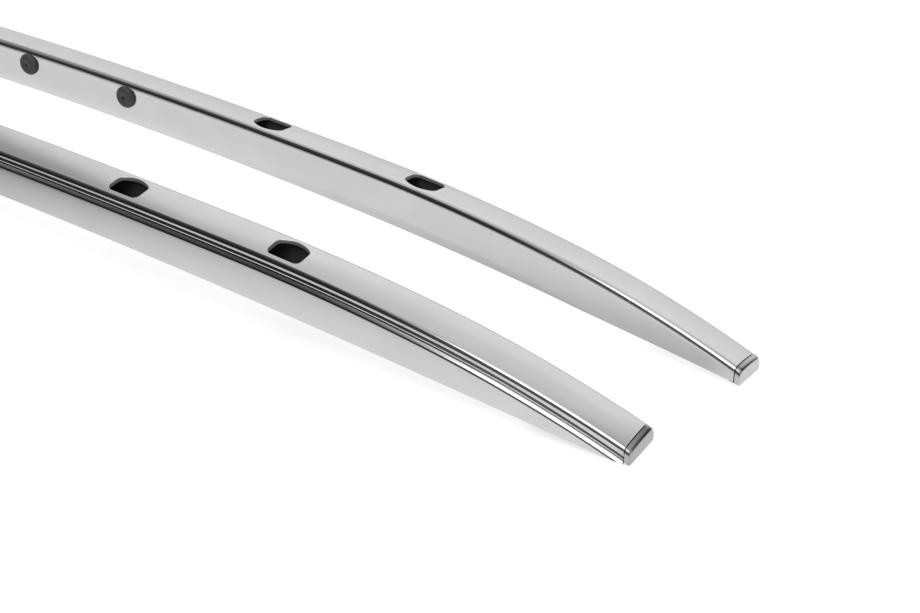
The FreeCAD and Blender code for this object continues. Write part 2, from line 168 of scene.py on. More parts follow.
def arc_through(a, b, c, steps):
    """Points on the circle through three points, from the first to the last."""
    ax, ay, bx, by, cx, cy = *a, *b, *c
    a2, b2, c2 = ax ** 2 + ay ** 2, bx ** 2 + by ** 2, cx ** 2 + cy ** 2
    d = 2 * (ax * (by - cy) + bx * (cy - ay) + cx * (ay - by))
    ox = (a2 * (by - cy) + b2 * (cy - ay) + c2 * (ay - by)) / d
    oy = (a2 * (cx - bx) + b2 * (ax - cx) + c2 * (bx - ax)) / d
    start = math.atan2(ay - oy, ax - ox) % (2 * math.pi)
    end = math.atan2(cy - oy, cx - ox) % (2 * math.pi)
    return arc_points((ox, oy), math.hypot(ax - ox, ay - oy), start, end, steps)


def bulged(start, end, bulge):
    """The middle between two points, moved by a bulge."""
    return (start[0] + end[0]) / 2 + bulge[0], (start[1] + end[1]) / 2 + bulge[1]


def outer_top_edge(radius):
    """The rounded edge between the outer side and the crown, from the side to the crown."""
    (cx, cz), crown = crown_circle()
    mx = TOP_WIDTH - radius
    mz = cz + math.sqrt((crown - radius) ** 2 - (mx - cx) ** 2)
    return arc_points((mx, mz), radius, 0.0, math.atan2(mz - cz, mx - cx), 10)


def inner_top_edge(radius, ease_radius, ease_angle):
    """The edge between the inner side and the crown, whose rounding starts gently at the side."""
    (cx, cz), crown = crown_circle()
    mx = ease_radius - (ease_radius - radius) * math.cos(ease_angle)
    mz = cz + math.sqrt((crown - radius) ** 2 - (mx - cx) ** 2)
    side_end = (ease_radius, mz - (ease_radius - radius) * math.sin(ease_angle))
    turned = math.pi - ease_angle
    eased = arc_points(side_end, ease_radius, math.pi, turned, 5)
    return eased + arc_points((mx, mz), radius, turned, math.atan2(mz - cz, mx - cx), 10)[1:]


def softened(points, radius):
    """Rounds each inner corner of an open outline with three short edges."""
    out = [points[0]]
    for before, corner, after in zip(points, points[1:], points[2:]):
        a = Vector(before) - Vector(corner)
        b = Vector(after) - Vector(corner)
        if a.angle(b) > NEARLY_STRAIGHT:
            out.append(corner)
            continue
        reach = min(radius, a.length * CORNER_SHARE, b.length * CORNER_SHARE)
        start = Vector(corner) + a.normalized() * reach
        end = Vector(corner) + b.normalized() * reach
        for t in (0.0, 1 / 3, 2 / 3, 1.0):
            p = start * (1 - t) ** 2 + Vector(corner) * 2 * t * (1 - t) + end * t ** 2
            out.append((p.x, p.y))
    out.append(points[-1])
    return out


def side_steps(across, high, low):
    """An upright side from high to low, in even steps."""
    count = max(1, round((high - low) / SIDE_PITCH))
    return [(across, high + (low - high) * i / count) for i in range(count + 1)]


def leg_inset(up):
    """How far the bevelled inner leg has drawn in at a level."""
    return max(0.0, -SIDE_FLAT - up) * math.tan(LEG_BEVEL)


# The top face, from the inner side over the crown to the outer side.
inner_round = inner_top_edge(INNER_EDGE_RADIUS, INNER_EASE_RADIUS, INNER_EASE_ANGLE)
outer_round = outer_top_edge(OUTER_EDGE_RADIUS)
crown_across = np.linspace(inner_round[-1][0], outer_round[-1][0], 16)[1:-1]
top_face = inner_round + [(a, float(crown_up(a))) for a in crown_across] + outer_round[::-1]

# The outer side, from its top down: lip, concave groove, bead, narrow slot, shoulder and skirt.
groove_top = outer_round[0][1] - LIP_HEIGHT
groove_foot = groove_top - GROOVE_HEIGHT
slot_top = groove_foot - BEAD_HEIGHT
shoulder_top = slot_top - SLOT_HEIGHT
shoulder_foot = shoulder_top - SHOULDER_WIDTH * math.tan(SHOULDER_LEAN)
undercut = (TOP_WIDTH - LIP_UNDERCUT, groove_top - LIP_UNDERCUT * 3 / 4)
groove_back = (TOP_WIDTH - GROOVE_DEPTH, groove_top - GROOVE_HEIGHT / 3)
groove_end = (TOP_WIDTH, groove_foot)
groove_roof = bulged(undercut, groove_back, GROOVE_ROOF_BULGE)
groove_flank = bulged(groove_back, groove_end, GROOVE_FLANK_BULGE)
groove_arc = arc_through(undercut, groove_roof, groove_back, 6)
groove_arc += arc_through(groove_back, groove_flank, groove_end, 12)[1:]
slot_in = TOP_WIDTH - SLOT_DEPTH
shoulder_tip = (TOP_WIDTH + SHOULDER_WIDTH, shoulder_foot)
round_centre = (shoulder_tip[0] - SHOULDER_RADIUS * math.sin(SHOULDER_LEAN),
                shoulder_tip[1] - SHOULDER_RADIUS * math.cos(SHOULDER_LEAN))
shoulder_round = arc_points(round_centre, SHOULDER_RADIUS, math.pi / 2 - SHOULDER_LEAN, SKIRT_LEAN, 10)
skirt_start = shoulder_round[-1]
skirt_centre = (skirt_start[0] - SKIRT_RADIUS * math.cos(SKIRT_LEAN),
                skirt_start[1] - SKIRT_RADIUS * math.sin(SKIRT_LEAN))
skirt_end = math.asin((-LEG_REACH - skirt_centre[1]) / SKIRT_RADIUS)
skirt_curve = arc_points(skirt_centre, SKIRT_RADIUS, SKIRT_LEAN, skirt_end, 16)
outer_side = [outer_round[0], (TOP_WIDTH, groove_top)] + groove_arc
outer_side += [(TOP_WIDTH, slot_top), (slot_in, slot_top), (slot_in, shoulder_top)]
outer_side += [(TOP_WIDTH, shoulder_top), shoulder_tip]
outer_side = softened(outer_side, CORNER_SOFTNESS) + shoulder_round[1:] + skirt_curve[1:]

# The inner side, the two legs under the box, and the chamber inside it.
inner_side = side_steps(0.0, inner_round[0][1], -SIDE_FLAT) + [(leg_inset(-LEG_REACH), -LEG_REACH)]
inner_leg = [(WALL, -BOX_DEPTH), (WALL, -SIDE_FLAT), (leg_inset(-LEG_REACH) + WALL, -LEG_REACH)]
skirt_in = skirt_start[0] - WALL
outer_leg = [(skirt_in, -BOX_DEPTH), (skirt_in, -LEG_REACH)]
neck_in = TOP_WIDTH - GROOVE_DEPTH - WALL
fall = TOP_FALL / TOP_WIDTH
ceiling = [(WALL, -WALL - WALL * fall), (neck_in, -WALL - neck_in * fall)]
chamber_outer = [ceiling[1], (neck_in, shoulder_top - WALL),
                 (skirt_in, skirt_start[1]), (skirt_in, -BOX_DEPTH + WALL)]
chamber_inner = [ceiling[0], (WALL, -BOX_DEPTH + WALL)]


def trimmed(x, points):
    """A stretch of the section at x, from its top down, with all that is below the roof drawn in."""
    across = np.array([p[0] for p in points])
    up = np.array([p[1] for p in points])
    y, z = on_section(x, across, up)
    clear = z - np.array([roof_height(x, v) for v in y])
    below = np.nonzero(clear < 0)[0]
    if len(below) == 0:
        return list(zip(y, z)), False
    k = below[0]
    if k == 0:
        return [(y[0], roof_height(x, y[0]))] * len(points), True
    t = clear[k - 1] / (clear[k - 1] - clear[k])
    cut = (y[k - 1] + (y[k] - y[k - 1]) * t, z[k - 1] + (z[k] - z[k - 1]) * t)
    return list(zip(y[:k], z[:k])) + [cut] * (len(points) - k), True


LAST_OF_WEB = 0.05


def station_outlines(x):
    """Outer loop and chamber loop of the section at x, and whether the roof has opened the box."""
    left_foot, _ = trimmed(x, inner_side)
    right_foot, _ = trimmed(x, outer_side)
    right_leg, _ = trimmed(x, outer_leg)
    left_leg, _ = trimmed(x, inner_leg)
    right_wall, right_open = trimmed(x, chamber_outer)
    left_wall, left_open = trimmed(x, chamber_inner)
    if right_open:
        right_leg = [right_wall[-1]] * len(right_leg)
    if left_open:
        left_leg = [left_wall[-1]] * len(left_leg)
    if left_open and not right_open:
        left_wall[-1] = (left_wall[-1][0], left_wall[-1][1] + LAST_OF_WEB)
    y, z = on_section(x, np.array([p[0] for p in top_face]), np.array([p[1] for p in top_face]))
    outer = left_foot[::-1] + list(zip(y, z))[1:-1] + right_foot + right_leg[::-1] + left_leg
    return outer, left_wall + right_wall[::-1], left_open and right_open


STATIONS = 365
NOSE_STATIONS = 76
NOSE_LENGTH = 150.0


def station_places():
    """Places of the stations along the rail: closer together where the nose bends and opens."""
    places = set(np.round(np.linspace(-HALF, HALF, STATIONS), 4))
    for end in (-1, 1):
        places |= set(np.round(end * np.linspace(HALF - NOSE_LENGTH, HALF, NOSE_STATIONS), 4))
    return sorted(places)


def girths(outline):
    """How far round a closed outline each of its points lies, with the whole girth last."""
    edges = zip(outline, outline[1:] + outline[:1])
    return np.concatenate([[0.0], np.cumsum([math.dist(a, b) for a, b in edges])])


WELD = 0.002 * MM
SLIVER = 0.001 * MM


def closed_mesh(bm, name):
    """A mesh of the solid that was built in a bmesh, welded and with any opening filled."""
    bmesh.ops.remove_doubles(bm, verts=bm.verts, dist=WELD)
    bmesh.ops.dissolve_degenerate(bm, edges=bm.edges, dist=SLIVER)
    rims = [edge for edge in bm.edges if edge.is_boundary]
    bmesh.ops.holes_fill(bm, edges=rims, sides=0)
    bmesh.ops.recalc_face_normals(bm, faces=bm.faces)
    mesh = bpy.data.meshes.new(name)
    bm.to_mesh(mesh)
    bm.free()
    return mesh


SATIN, RAW, CUT = 0, 1, 2


def rail_mesh(name):
    """The swept and trimmed bar of the left rail, before it is punched and drilled."""
    bm = bmesh.new()
    flow = bm.loops.layers.uv.new("flow")
    rings = []
    for x in station_places():
        outer, chamber, opened = station_outlines(x)
        ring = [[bm.verts.new((x * MM, y * MM, z * MM)) for y, z in loop] for loop in (outer, chamber)]
        rings.append((x, ring, opened))
    girth = [girths(loop) for loop in station_outlines(0.0)[:2]]
    web_edge = len(inner_side) + len(top_face) - 2 + len(outer_side) + len(outer_leg) - 1
    floor_edge = len(chamber_inner) - 1
    for (x0, ring0, open0), (x1, ring1, open1) in zip(rings, rings[1:]):
        for k, finish, skipped in ((0, SATIN, web_edge), (1, RAW, floor_edge)):
            count = len(ring0[k])
            for i in range(count):
                j = (i + 1) % count
                if i == skipped and open0 and open1:
                    continue
                corners = [ring0[k][i], ring0[k][j], ring1[k][j], ring1[k][i]]
                if k == 1:
                    corners.reverse()
                face = bm.faces.new(corners)
                face.material_index = finish
                marks = {ring0[k][i]: (x0, girth[k][i]), ring0[k][j]: (x0, girth[k][i + 1]),
                         ring1[k][j]: (x1, girth[k][i + 1]), ring1[k][i]: (x1, girth[k][i])}
                for loop in face.loops:
                    u, v = marks[loop.vert]
                    loop[flow].uv = (u * MM, v * MM)
    return closed_mesh(bm, name)


HOLE_SPOTS = (341.0, 525.0)
HOLE_LENGTH = 36.0
HOLE_OUTER = 33.0
HOLE_INNER = 14.0
HOLE_BULGE = 6.5
HOLE_CORNER = 6.0
HOLE_BREAK = 0.7
HOLE_BREAK_TURN = 1.4
HOLE_CUT = (-14.0, 6.0)
BOLT_HOLE = 9.0
BOLT_CUT = (-8.0, 12.0)
BUFFER_PITCH = 139.5
BUFFER_DROP = 16.0
STEM_BORE = 12.4
BORE_CUT = (5.0, -3.0)


def access_outline():
    """The access hole in plan: straight on the outer side, arched on the inner, with round corners."""
    half = HOLE_LENGTH / 2
    radius = (half ** 2 + HOLE_BULGE ** 2) / (2 * HOLE_BULGE)
    arch_centre = HOLE_INNER - HOLE_BULGE + radius
    straight = HOLE_OUTER - HOLE_CORNER
    turn_x = half - HOLE_CORNER
    turn_y = arch_centre - math.sqrt((radius - HOLE_CORNER) ** 2 - turn_x ** 2)
    lean = math.atan2(turn_y - arch_centre, turn_x)
    outline = arc_points((-turn_x, straight), HOLE_CORNER, math.pi, math.pi / 2, 10)
    outline += arc_points((turn_x, straight), HOLE_CORNER, math.pi / 2, 0.0, 10)
    outline += arc_points((turn_x, turn_y), HOLE_CORNER, 0.0, lean, 10)
    outline += arc_points((0.0, arch_centre), radius, lean, -math.pi - lean, 36)[1:]
    return outline + arc_points((-turn_x, turn_y), HOLE_CORNER, -math.pi - lean, -math.pi, 10)[1:]


def grown(outline, amount):
    """An outline moved outwards by an amount, corner by corner."""
    out = []
    count = len(outline)
    for i in range(count):
        a = Vector(outline[i - 1])
        b = Vector(outline[(i + 1) % count])
        normal = Vector(((b - a).y, -(b - a).x)).normalized()
        out.append((outline[i][0] - normal.x * amount, outline[i][1] - normal.y * amount))
    return out


def access_rings(x):
    """The access hole at x, as rings that run from the box up to the rounded rim and on above it."""
    y = inner_at(x)
    turn = math.atan((inner_at(x + 1) - inner_at(x - 1)) / 2)
    rim = [(HOLE_BREAK * (0.5 - math.cos(a)), HOLE_BREAK * (math.sin(a) - 1))
           for a in np.linspace(0, HOLE_BREAK_TURN, 6)]
    rings = []
    for margin, lift in [(-HOLE_BREAK / 2, HOLE_CUT[0])] + rim + [(HOLE_BREAK / 2, HOLE_CUT[1])]:
        ring = []
        for along, across in grown(access_outline(), margin):
            px = x + along * math.cos(turn) - across * math.sin(turn)
            py = across * math.cos(turn) + along * math.sin(turn)
            depth = py + y - inner_at(px)
            _, z = on_section(px, depth, crown_up(depth))
            ring.append((px, y + py, float(z) + lift))
        rings.append(ring)
    return rings


def add_prism(bm, rings, finishes=None):
    """A closed solid from rings of points, first ring to last, with a finish for each band."""
    loops = [[bm.verts.new(Vector(p) * MM) for p in ring] for ring in rings]
    bm.faces.new(loops[0][::-1])
    bm.faces.new(loops[-1])
    for k, (low, high) in enumerate(zip(loops, loops[1:])):
        for i in range(len(low)):
            j = (i + 1) % len(low)
            face = bm.faces.new([low[i], low[j], high[j], high[i]])
            face.material_index = finishes[k] if finishes else RAW


def cutter_object():
    """All the holes of the left rail: wrench holes, bolt holes and the bores for the buffers."""
    bm = bmesh.new()
    for spot in HOLE_SPOTS:
        for x in (spot - HALF, HALF - spot):
            rings = access_rings(x)
            add_prism(bm, rings, [CUT] + [SATIN] * (len(rings) - 2))
            bolt_y = inner_at(x) + (HOLE_OUTER + HOLE_INNER - HOLE_BULGE / 2) / 2
            web = top_at(x) - BOX_DEPTH
            circle = circle_points((x, bolt_y), BOLT_HOLE)
            add_prism(bm, [[(px, py, web + z) for px, py in circle] for z in BOLT_CUT])
    for i in range(4):
        x = (i - 1.5) * BUFFER_PITCH
        circle = circle_points((x, top_at(x) - BUFFER_DROP), STEM_BORE)
        add_prism(bm, [[(px, inner_at(x) + y, pz) for px, pz in circle] for y in BORE_CUT])
    bmesh.ops.recalc_face_normals(bm, faces=bm.faces)
    mesh = bpy.data.meshes.new("rail_cutters")
    bm.to_mesh(mesh)
    bm.free()
    for metal in rail_metals:
        mesh.materials.append(metal)
    cutters = bpy.data.objects.new("rail_cutters", mesh)
    bpy.context.scene.collection.objects.link(cutters)
    return cutters


def punched(mesh):
    """The bar with its holes cut by a boolean, as a new mesh."""
    for metal in rail_metals:
        mesh.materials.append(metal)
    blank = bpy.data.objects.new("rail_blank", mesh)
    bpy.context.scene.collection.objects.link(blank)
    cutters = cutter_object()
    cut = blank.modifiers.new("holes", "BOOLEAN")
    cut.operation = "DIFFERENCE"
    cut.solver = "MANIFOLD"
    cut.object = cutters
    result = bpy.data.meshes.new_from_object(blank.evaluated_get(bpy.context.evaluated_depsgraph_get()))
    bpy.data.objects.remove(blank)
    bpy.data.objects.remove(cutters)
    return result


def mirrored(mesh):
    """The right rail's mesh: the left one mirrored across the pair's middle plane."""
    twin = mesh.copy()
    twin.transform(Matrix.Diagonal((1, -1, 1, 1)))
    twin.flip_normals()
    return twin


def link(tree, start, end):
    """Connects an output to an input."""
    tree.links.new(start, end)


def feed(tree, value, end):
    """Connects an output to an input, or sets the input to a plain value."""
    if isinstance(value, bpy.types.NodeSocket):
        link(tree, value, end)
    else:
        end.default_value = value


def figured(tree, operation, *values, clamp=False):
    """One step of arithmetic on one, two or three values."""
    node = tree.nodes.new("ShaderNodeMath")
    node.operation = operation
    node.use_clamp = clamp
    for value, end in zip(values, node.inputs):
        feed(tree, value, end)
    return node.outputs[0]


def ranged(tree, source, start, end, at_start, at_end, smooth=False):
    """Maps one range of a value to another, evenly or with soft ends, and holds it there outside."""
    node = tree.nodes.new("ShaderNodeMapRange")
    node.interpolation_type = "SMOOTHSTEP" if smooth else "LINEAR"
    node.inputs["From Min"].default_value = start
    node.inputs["From Max"].default_value = end
    node.inputs["To Min"].default_value = at_start
    node.inputs["To Max"].default_value = at_end
    link(tree, source, node.inputs["Value"])
    return node.outputs["Result"]


def spread(tree, texture, low, high):
    """Maps the middle range of a texture to a range of values."""
    return ranged(tree, texture, 0.3, 0.7, low, high)


def blended(tree, factor, first, second):
    """A colour between two colours, by a factor that changes over the surface."""
    node = tree.nodes.new("ShaderNodeMix")
    node.data_type = "RGBA"
    link(tree, factor, node.inputs["Factor"])
    for colour, end in ((first, node.inputs[6]), (second, node.inputs[7])):
        feed(tree, (*colour, 1.0) if isinstance(colour, tuple) else colour, end)
    return node.outputs[2]


def noise(tree, place, scale, detail):
    """Cloudy noise at a place, with a scale and a detail."""
    node = tree.nodes.new("ShaderNodeTexNoise")
    feed(tree, scale, node.inputs["Scale"])
    node.inputs["Detail"].default_value = detail
    link(tree, place, node.inputs["Vector"])
    return node.outputs["Fac"]


def socket(group, name, kind, direction, value=None):
    """A named input or output of a node group."""
    made = group.interface.new_socket(name=name, in_out=direction, socket_type="NodeSocket" + kind)
    if value is not None:
        made.default_value = value


STREAKS_PER_METRE = 9.0


def drawn_lines_group():
    """Fine lines that run along an extrusion, and the small clouds that anodising leaves."""
    group = bpy.data.node_groups.new("drawn lines", "ShaderNodeTree")
    socket(group, "Flow", "Vector", "INPUT")
    socket(group, "Line Width", "Float", "INPUT", 0.0004)
    socket(group, "Lines", "Float", "OUTPUT")
    socket(group, "Clouds", "Float", "OUTPUT")
    start = group.nodes.new("NodeGroupInput")
    end = group.nodes.new("NodeGroupOutput")
    parts = group.nodes.new("ShaderNodeSeparateXYZ")
    link(group, start.outputs["Flow"], parts.inputs[0])
    lane = group.nodes.new("ShaderNodeCombineXYZ")
    streak = figured(group, "MULTIPLY", parts.outputs["X"], STREAKS_PER_METRE)
    line = figured(group, "DIVIDE", parts.outputs["Y"], start.outputs["Line Width"])
    link(group, streak, lane.inputs["X"])
    link(group, line, lane.inputs["Y"])
    link(group, noise(group, lane.outputs[0], 1.0, 3.0), end.inputs["Lines"])
    link(group, noise(group, start.outputs["Flow"], 22.0, 4.0), end.inputs["Clouds"])
    return group


def grain_group():
    """An even fine grain: the etched skin of anodised metal, or the texture of a mould."""
    group = bpy.data.node_groups.new("fine grain", "ShaderNodeTree")
    socket(group, "Place", "Vector", "INPUT")
    socket(group, "Grains Per Metre", "Float", "INPUT", 3000.0)
    socket(group, "Grain", "Float", "OUTPUT")
    start = group.nodes.new("NodeGroupInput")
    end = group.nodes.new("NodeGroupOutput")
    grain = noise(group, start.outputs["Place"], start.outputs["Grains Per Metre"], 2.0)
    link(group, grain, end.inputs["Grain"])
    return group


drawn_lines = drawn_lines_group()
fine_grain = grain_group()


def new_material(name):
    """An empty node material: its tree and its one shader."""
    material = bpy.data.materials.new(name)
    material.use_nodes = True
    tree = material.node_tree
    return material, tree, tree.nodes["Principled BSDF"]


def placed_grain(tree, grains_per_metre):
    """The fine grain, placed over the object in a material."""
    place = tree.nodes.new("ShaderNodeTexCoord")
    node = tree.nodes.new("ShaderNodeGroup")
    node.node_tree = fine_grain
    node.inputs["Grains Per Metre"].default_value = grains_per_metre
    link(tree, place.outputs["Object"], node.inputs["Place"])
    return node.outputs["Grain"]


def bumped(tree, shader, height, relief):
    """A relief of the surface, from a height and its full depth in metres."""
    node = tree.nodes.new("ShaderNodeBump")
    node.inputs["Distance"].default_value = relief
    link(tree, height, node.inputs["Height"])
    link(tree, node.outputs["Normal"], shader.inputs["Normal"])


SATIN_TONES = ((0.557, 0.557, 0.557), (0.587, 0.586, 0.586))
SATIN_ROUGHNESS = (0.12, 0.15)
SATIN_RELIEF = 0.0000015
LINE_WIDTH = 0.00035
SLOT_SHADE_TONE = (0.04, 0.04, 0.042)
SLOT_SHADE_FADE = (0.7, 0.84)
SLOT_SHADE_AT_TIPS = 0.3


def slot_girth():
    """How far round the section at the rail's middle the bottom of the narrow slot lies."""
    outline = station_outlines(0.0)[0]
    bottom = on_section(0.0, slot_in, (slot_top + shoulder_top) / 2)
    nearest = min(range(len(outline)), key=lambda i: math.dist(outline[i], bottom))
    return girths(outline)[nearest]


def rail_material():
    """Brushed and anodised metal, with painted shade in the narrow slot that fades towards the tips."""
    material, tree, shader = new_material("satin_anodised_aluminium")
    flow = tree.nodes.new("ShaderNodeUVMap")
    flow.uv_map = "flow"
    lines = tree.nodes.new("ShaderNodeGroup")
    lines.node_tree = drawn_lines
    lines.inputs["Line Width"].default_value = LINE_WIDTH
    link(tree, flow.outputs["UV"], lines.inputs["Flow"])
    metal = blended(tree, spread(tree, lines.outputs["Clouds"], 0.0, 1.0), *SATIN_TONES)
    # The narrow slot is painted dark as painted shade, less so towards the tips.
    along_and_round = tree.nodes.new("ShaderNodeSeparateXYZ")
    link(tree, flow.outputs["UV"], along_and_round.inputs[0])
    slot_half = (SLOT_DEPTH + SLOT_HEIGHT / 2) * MM
    in_slot = figured(tree, "COMPARE", along_and_round.outputs["Y"], slot_girth() * MM, slot_half)
    from_middle = figured(tree, "ABSOLUTE", along_and_round.outputs["X"])
    slot_shade = figured(tree, "MULTIPLY", in_slot, ranged(tree, from_middle, *SLOT_SHADE_FADE, 1.0, SLOT_SHADE_AT_TIPS))
    link(tree, blended(tree, slot_shade, metal, SLOT_SHADE_TONE), shader.inputs["Base Color"])
    shader.inputs["Metallic"].default_value = 1.0
    link(tree, spread(tree, lines.outputs["Lines"], *SATIN_ROUGHNESS), shader.inputs["Roughness"])
    skin = figured(tree, "ADD", lines.outputs["Lines"], placed_grain(tree, 2600.0))
    bumped(tree, shader, skin, SATIN_RELIEF)
    return material


def grained_material(name, grains_per_metre, tones, relief, roughness=None, **fixed):
    """A surface with a fine grain that varies its tone and, between two values, its roughness."""
    material, tree, shader = new_material(name)
    grain = placed_grain(tree, grains_per_metre)
    link(tree, blended(tree, spread(tree, grain, 0.0, 1.0), *tones), shader.inputs["Base Color"])
    if roughness:
        link(tree, spread(tree, grain, *roughness), shader.inputs["Roughness"])
    for quality, value in fixed.items():
        shader.inputs[quality.replace("_", " ")].default_value = value
    bumped(tree, shader, grain, relief)
    return material


# The finish doesn't reach the inside of the box, and the walls of the punched holes are bare too.
# The inside of the box is painted dark as painted shade, much darker than its bare metal.
RAW_SHADE_TONES = ((0.16, 0.16, 0.1616), (0.22, 0.22, 0.2222))
CUT_TONES = ((0.5, 0.5, 0.505), (0.6, 0.6, 0.606))
BARE_GRAINS = 1400.0
BARE_RELIEF = 0.00001
satin_metal = rail_material()
raw_metal_and_shade = grained_material("raw_aluminium_painted_shade", BARE_GRAINS, RAW_SHADE_TONES, BARE_RELIEF, (0.5, 0.6),
                             Metallic=0.5)
cut_metal = grained_material("punched_aluminium", BARE_GRAINS, CUT_TONES, BARE_RELIEF, (0.3, 0.4),
                             Metallic=0.4)
rail_metals = (satin_metal, raw_metal_and_shade, cut_metal)

RAIL_SHARP_FROM = math.radians(28)
highest = max(up for _, up in top_face)
base_level = rail_high[2] - (RAIL_HEIGHT + highest) * MM
left_mesh = punched(rail_mesh("rail_left_bar"))
for polygon in left_mesh.polygons:
    polygon.use_smooth = True
left_mesh.set_sharp_from_angle(angle=RAIL_SHARP_FROM)
right_mesh = mirrored(left_mesh)
for side, mesh, shift in (("left", left_mesh, STAGGER / 2), ("right", right_mesh, -STAGGER / 2)):
    for vertex in mesh.vertices:
        vertex.co.x += shift * MM
        vertex.co.z += base_level
    rail = bpy.data.objects.new("rail_%s_extrusion" % side, mesh)
    bpy.context.scene.collection.objects.link(rail)
    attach(rail, "root")
    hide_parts("rail_" + side)


# The end caps
# Each is one plastic moulding in bright silver paint with a clear coat. Its tongue is pushed into
# the open end of the rail, and its foot runs a little way under the rail's trimmed edge.
CAP_LENGTH = 6.0
CAP_DROP = 30.0
CAP_PROUD = 0.3
CAP_SEAM_WIDTH = 1.0
CAP_SEAM_DEPTH = 1.4
CAP_TOP_RUN = 2.2
CAP_TOP_FALL = 0.8
CAP_TOP_ROUND = 1.8
CAP_OUTER_ROUND = 2.2
CAP_INNER_ROUND = 1.0
CAP_STEPS = 24
CAP_FOOT_STEP = 0.4
CAP_FOOT_RUN = 4.0
CAP_FOOT_OVERHANG = 1.3
CAP_SHARP_FROM = math.radians(35)
TONGUE_LENGTH = 22.0
TONGUE_CLEARANCE = 0.5

nose_slope = math.tan(float(np.interp(HALF, path_x, path_lean)))
cap_outline = side_steps(0.0, inner_round[0][1], -CAP_DROP)[::-1][:-1] + top_face
cap_outline += [(TOP_WIDTH, shoulder_top), shoulder_tip] + shoulder_round[1:] + skirt_curve[1:9]


def rounding(distance, run):
    """How far a rounded corner has turned in, from 0 to 1, at a distance past the seam."""
    past = max(0.0, distance - (CAP_LENGTH - run))
    return 1.0 - math.sqrt(max(0.0, 1.0 - (past / run) ** 2))


def cap_ring(distance, proud):
    """One section of the cap's shell, with its foot level with the lowered roof."""
    inner = CAP_INNER_ROUND * rounding(distance, CAP_INNER_ROUND) - proud
    outer = CAP_OUTER_ROUND * rounding(distance, CAP_OUTER_ROUND) - proud
    drop = CAP_TOP_ROUND * rounding(distance, CAP_TOP_RUN) - proud - distance * nose_slope
    drop += CAP_TOP_FALL * distance / CAP_LENGTH
    width = skirt_start[0]
    points = []
    for across, up in cap_outline:
        y = inner_at(HALF) + inner + across * (width - inner - outer) / width
        points.append((y, top_at(HALF) + up * math.hypot(1.0, nose_slope) - drop))
    clear = [z - roof_height(HALF + distance, y) + CAP_FOOT_STEP for y, z in points]
    above = [i for i, height in enumerate(clear) if height > 0]
    for last, step in ((above[0], -1), (above[-1], 1)):
        t = clear[last] / (clear[last] - clear[last + step])
        foot = [a + (b - a) * t for a, b in zip(points[last], points[last + step])]
        for i in range(last + step, -1 if step < 0 else len(points), step):
            points[i] = foot
    return [(HALF + distance, y, z) for y, z in points]


def plain_ring(x, outline, floor_lift):
    """A section of the foot or the tongue at x, kept above a level over the roof."""
    ring = []
    for across, up in outline:
        y = inner_at(x) + across
        lowest = roof_height(x, y) + floor_lift
        ring.append((x, y, max(top_at(HALF) + (x - HALF) * nose_slope + up, lowest)))
    return ring


def solid_mesh(name, rings):
    """A closed solid from rings of points, as a mesh."""
    bm = bmesh.new()
    add_prism(bm, rings)
    return closed_mesh(bm, name)


def cap_meshes():
    """The left rail's front cap: its shell with a seam, its foot and its tongue."""
    run = CAP_LENGTH - CAP_SEAM_WIDTH
    shell = [cap_ring(0.0, -CAP_SEAM_DEPTH), cap_ring(CAP_SEAM_WIDTH, -CAP_SEAM_DEPTH)]
    for i in range(CAP_STEPS + 1):
        shell.append(cap_ring(CAP_SEAM_WIDTH + run * math.sin(math.pi / 2 * i / CAP_STEPS), CAP_PROUD))
    inside_shell = HALF + CAP_LENGTH / 4
    foot_out = TOP_WIDTH + CAP_FOOT_OVERHANG
    foot = []
    for x in (HALF - CAP_FOOT_RUN, inside_shell):
        low = plain_ring(x, [(-CAP_PROUD, -LEG_REACH), (foot_out, -LEG_REACH)], -CAP_FOOT_STEP)
        high = plain_ring(x, [(-CAP_PROUD, -LEG_REACH + 1), (foot_out, -LEG_REACH + 1)], 0.0)
        foot.append([low[0], *high, low[1]])
    gap = TONGUE_CLEARANCE
    box = [(WALL + gap, -LEG_REACH), (WALL + gap, ceiling[0][1] - gap),
           (neck_in - gap, ceiling[1][1] - gap), (neck_in - gap, -LEG_REACH)]
    tongue_places = (HALF - TONGUE_LENGTH, HALF - TONGUE_LENGTH / 2, HALF, inside_shell)
    tongue = [plain_ring(x, box, gap) for x in tongue_places]
    pieces = (("cap_shell", shell), ("cap_foot", foot), ("cap_tongue", tongue))
    return [solid_mesh(name, rings) for name, rings in pieces]


def joined(meshes):
    """One mesh of several overlapping solids."""
    objects = [bpy.data.objects.new(mesh.name, mesh) for mesh in meshes]
    for piece in objects:
        bpy.context.scene.collection.objects.link(piece)
    whole = objects[0]
    for piece in objects[1:]:
        fused = whole.modifiers.new(piece.name, "BOOLEAN")
        fused.operation = "UNION"
        fused.solver = "MANIFOLD"
        fused.object = piece
    result = bpy.data.meshes.new_from_object(whole.evaluated_get(bpy.context.evaluated_depsgraph_get()))
    for piece in objects:
        bpy.data.objects.remove(piece)
    return result


PAINT_TONES = ((0.452, 0.453, 0.454), (0.521, 0.522, 0.523))
# The seam's near-black tones are painted shade.
SEAM_SHADE_TONES = ((0.012, 0.012, 0.012), (0.03, 0.03, 0.03))
silver_paint = grained_material("silver_painted_moulding", 5200.0, PAINT_TONES, 0.000002, (0.15, 0.2),
                                Metallic=1.0, Coat_Weight=0.3, Coat_Roughness=0.08)
seam_shade = grained_material("seam_shade", 2500.0, SEAM_SHADE_TONES, 0.00002, Roughness=0.7)
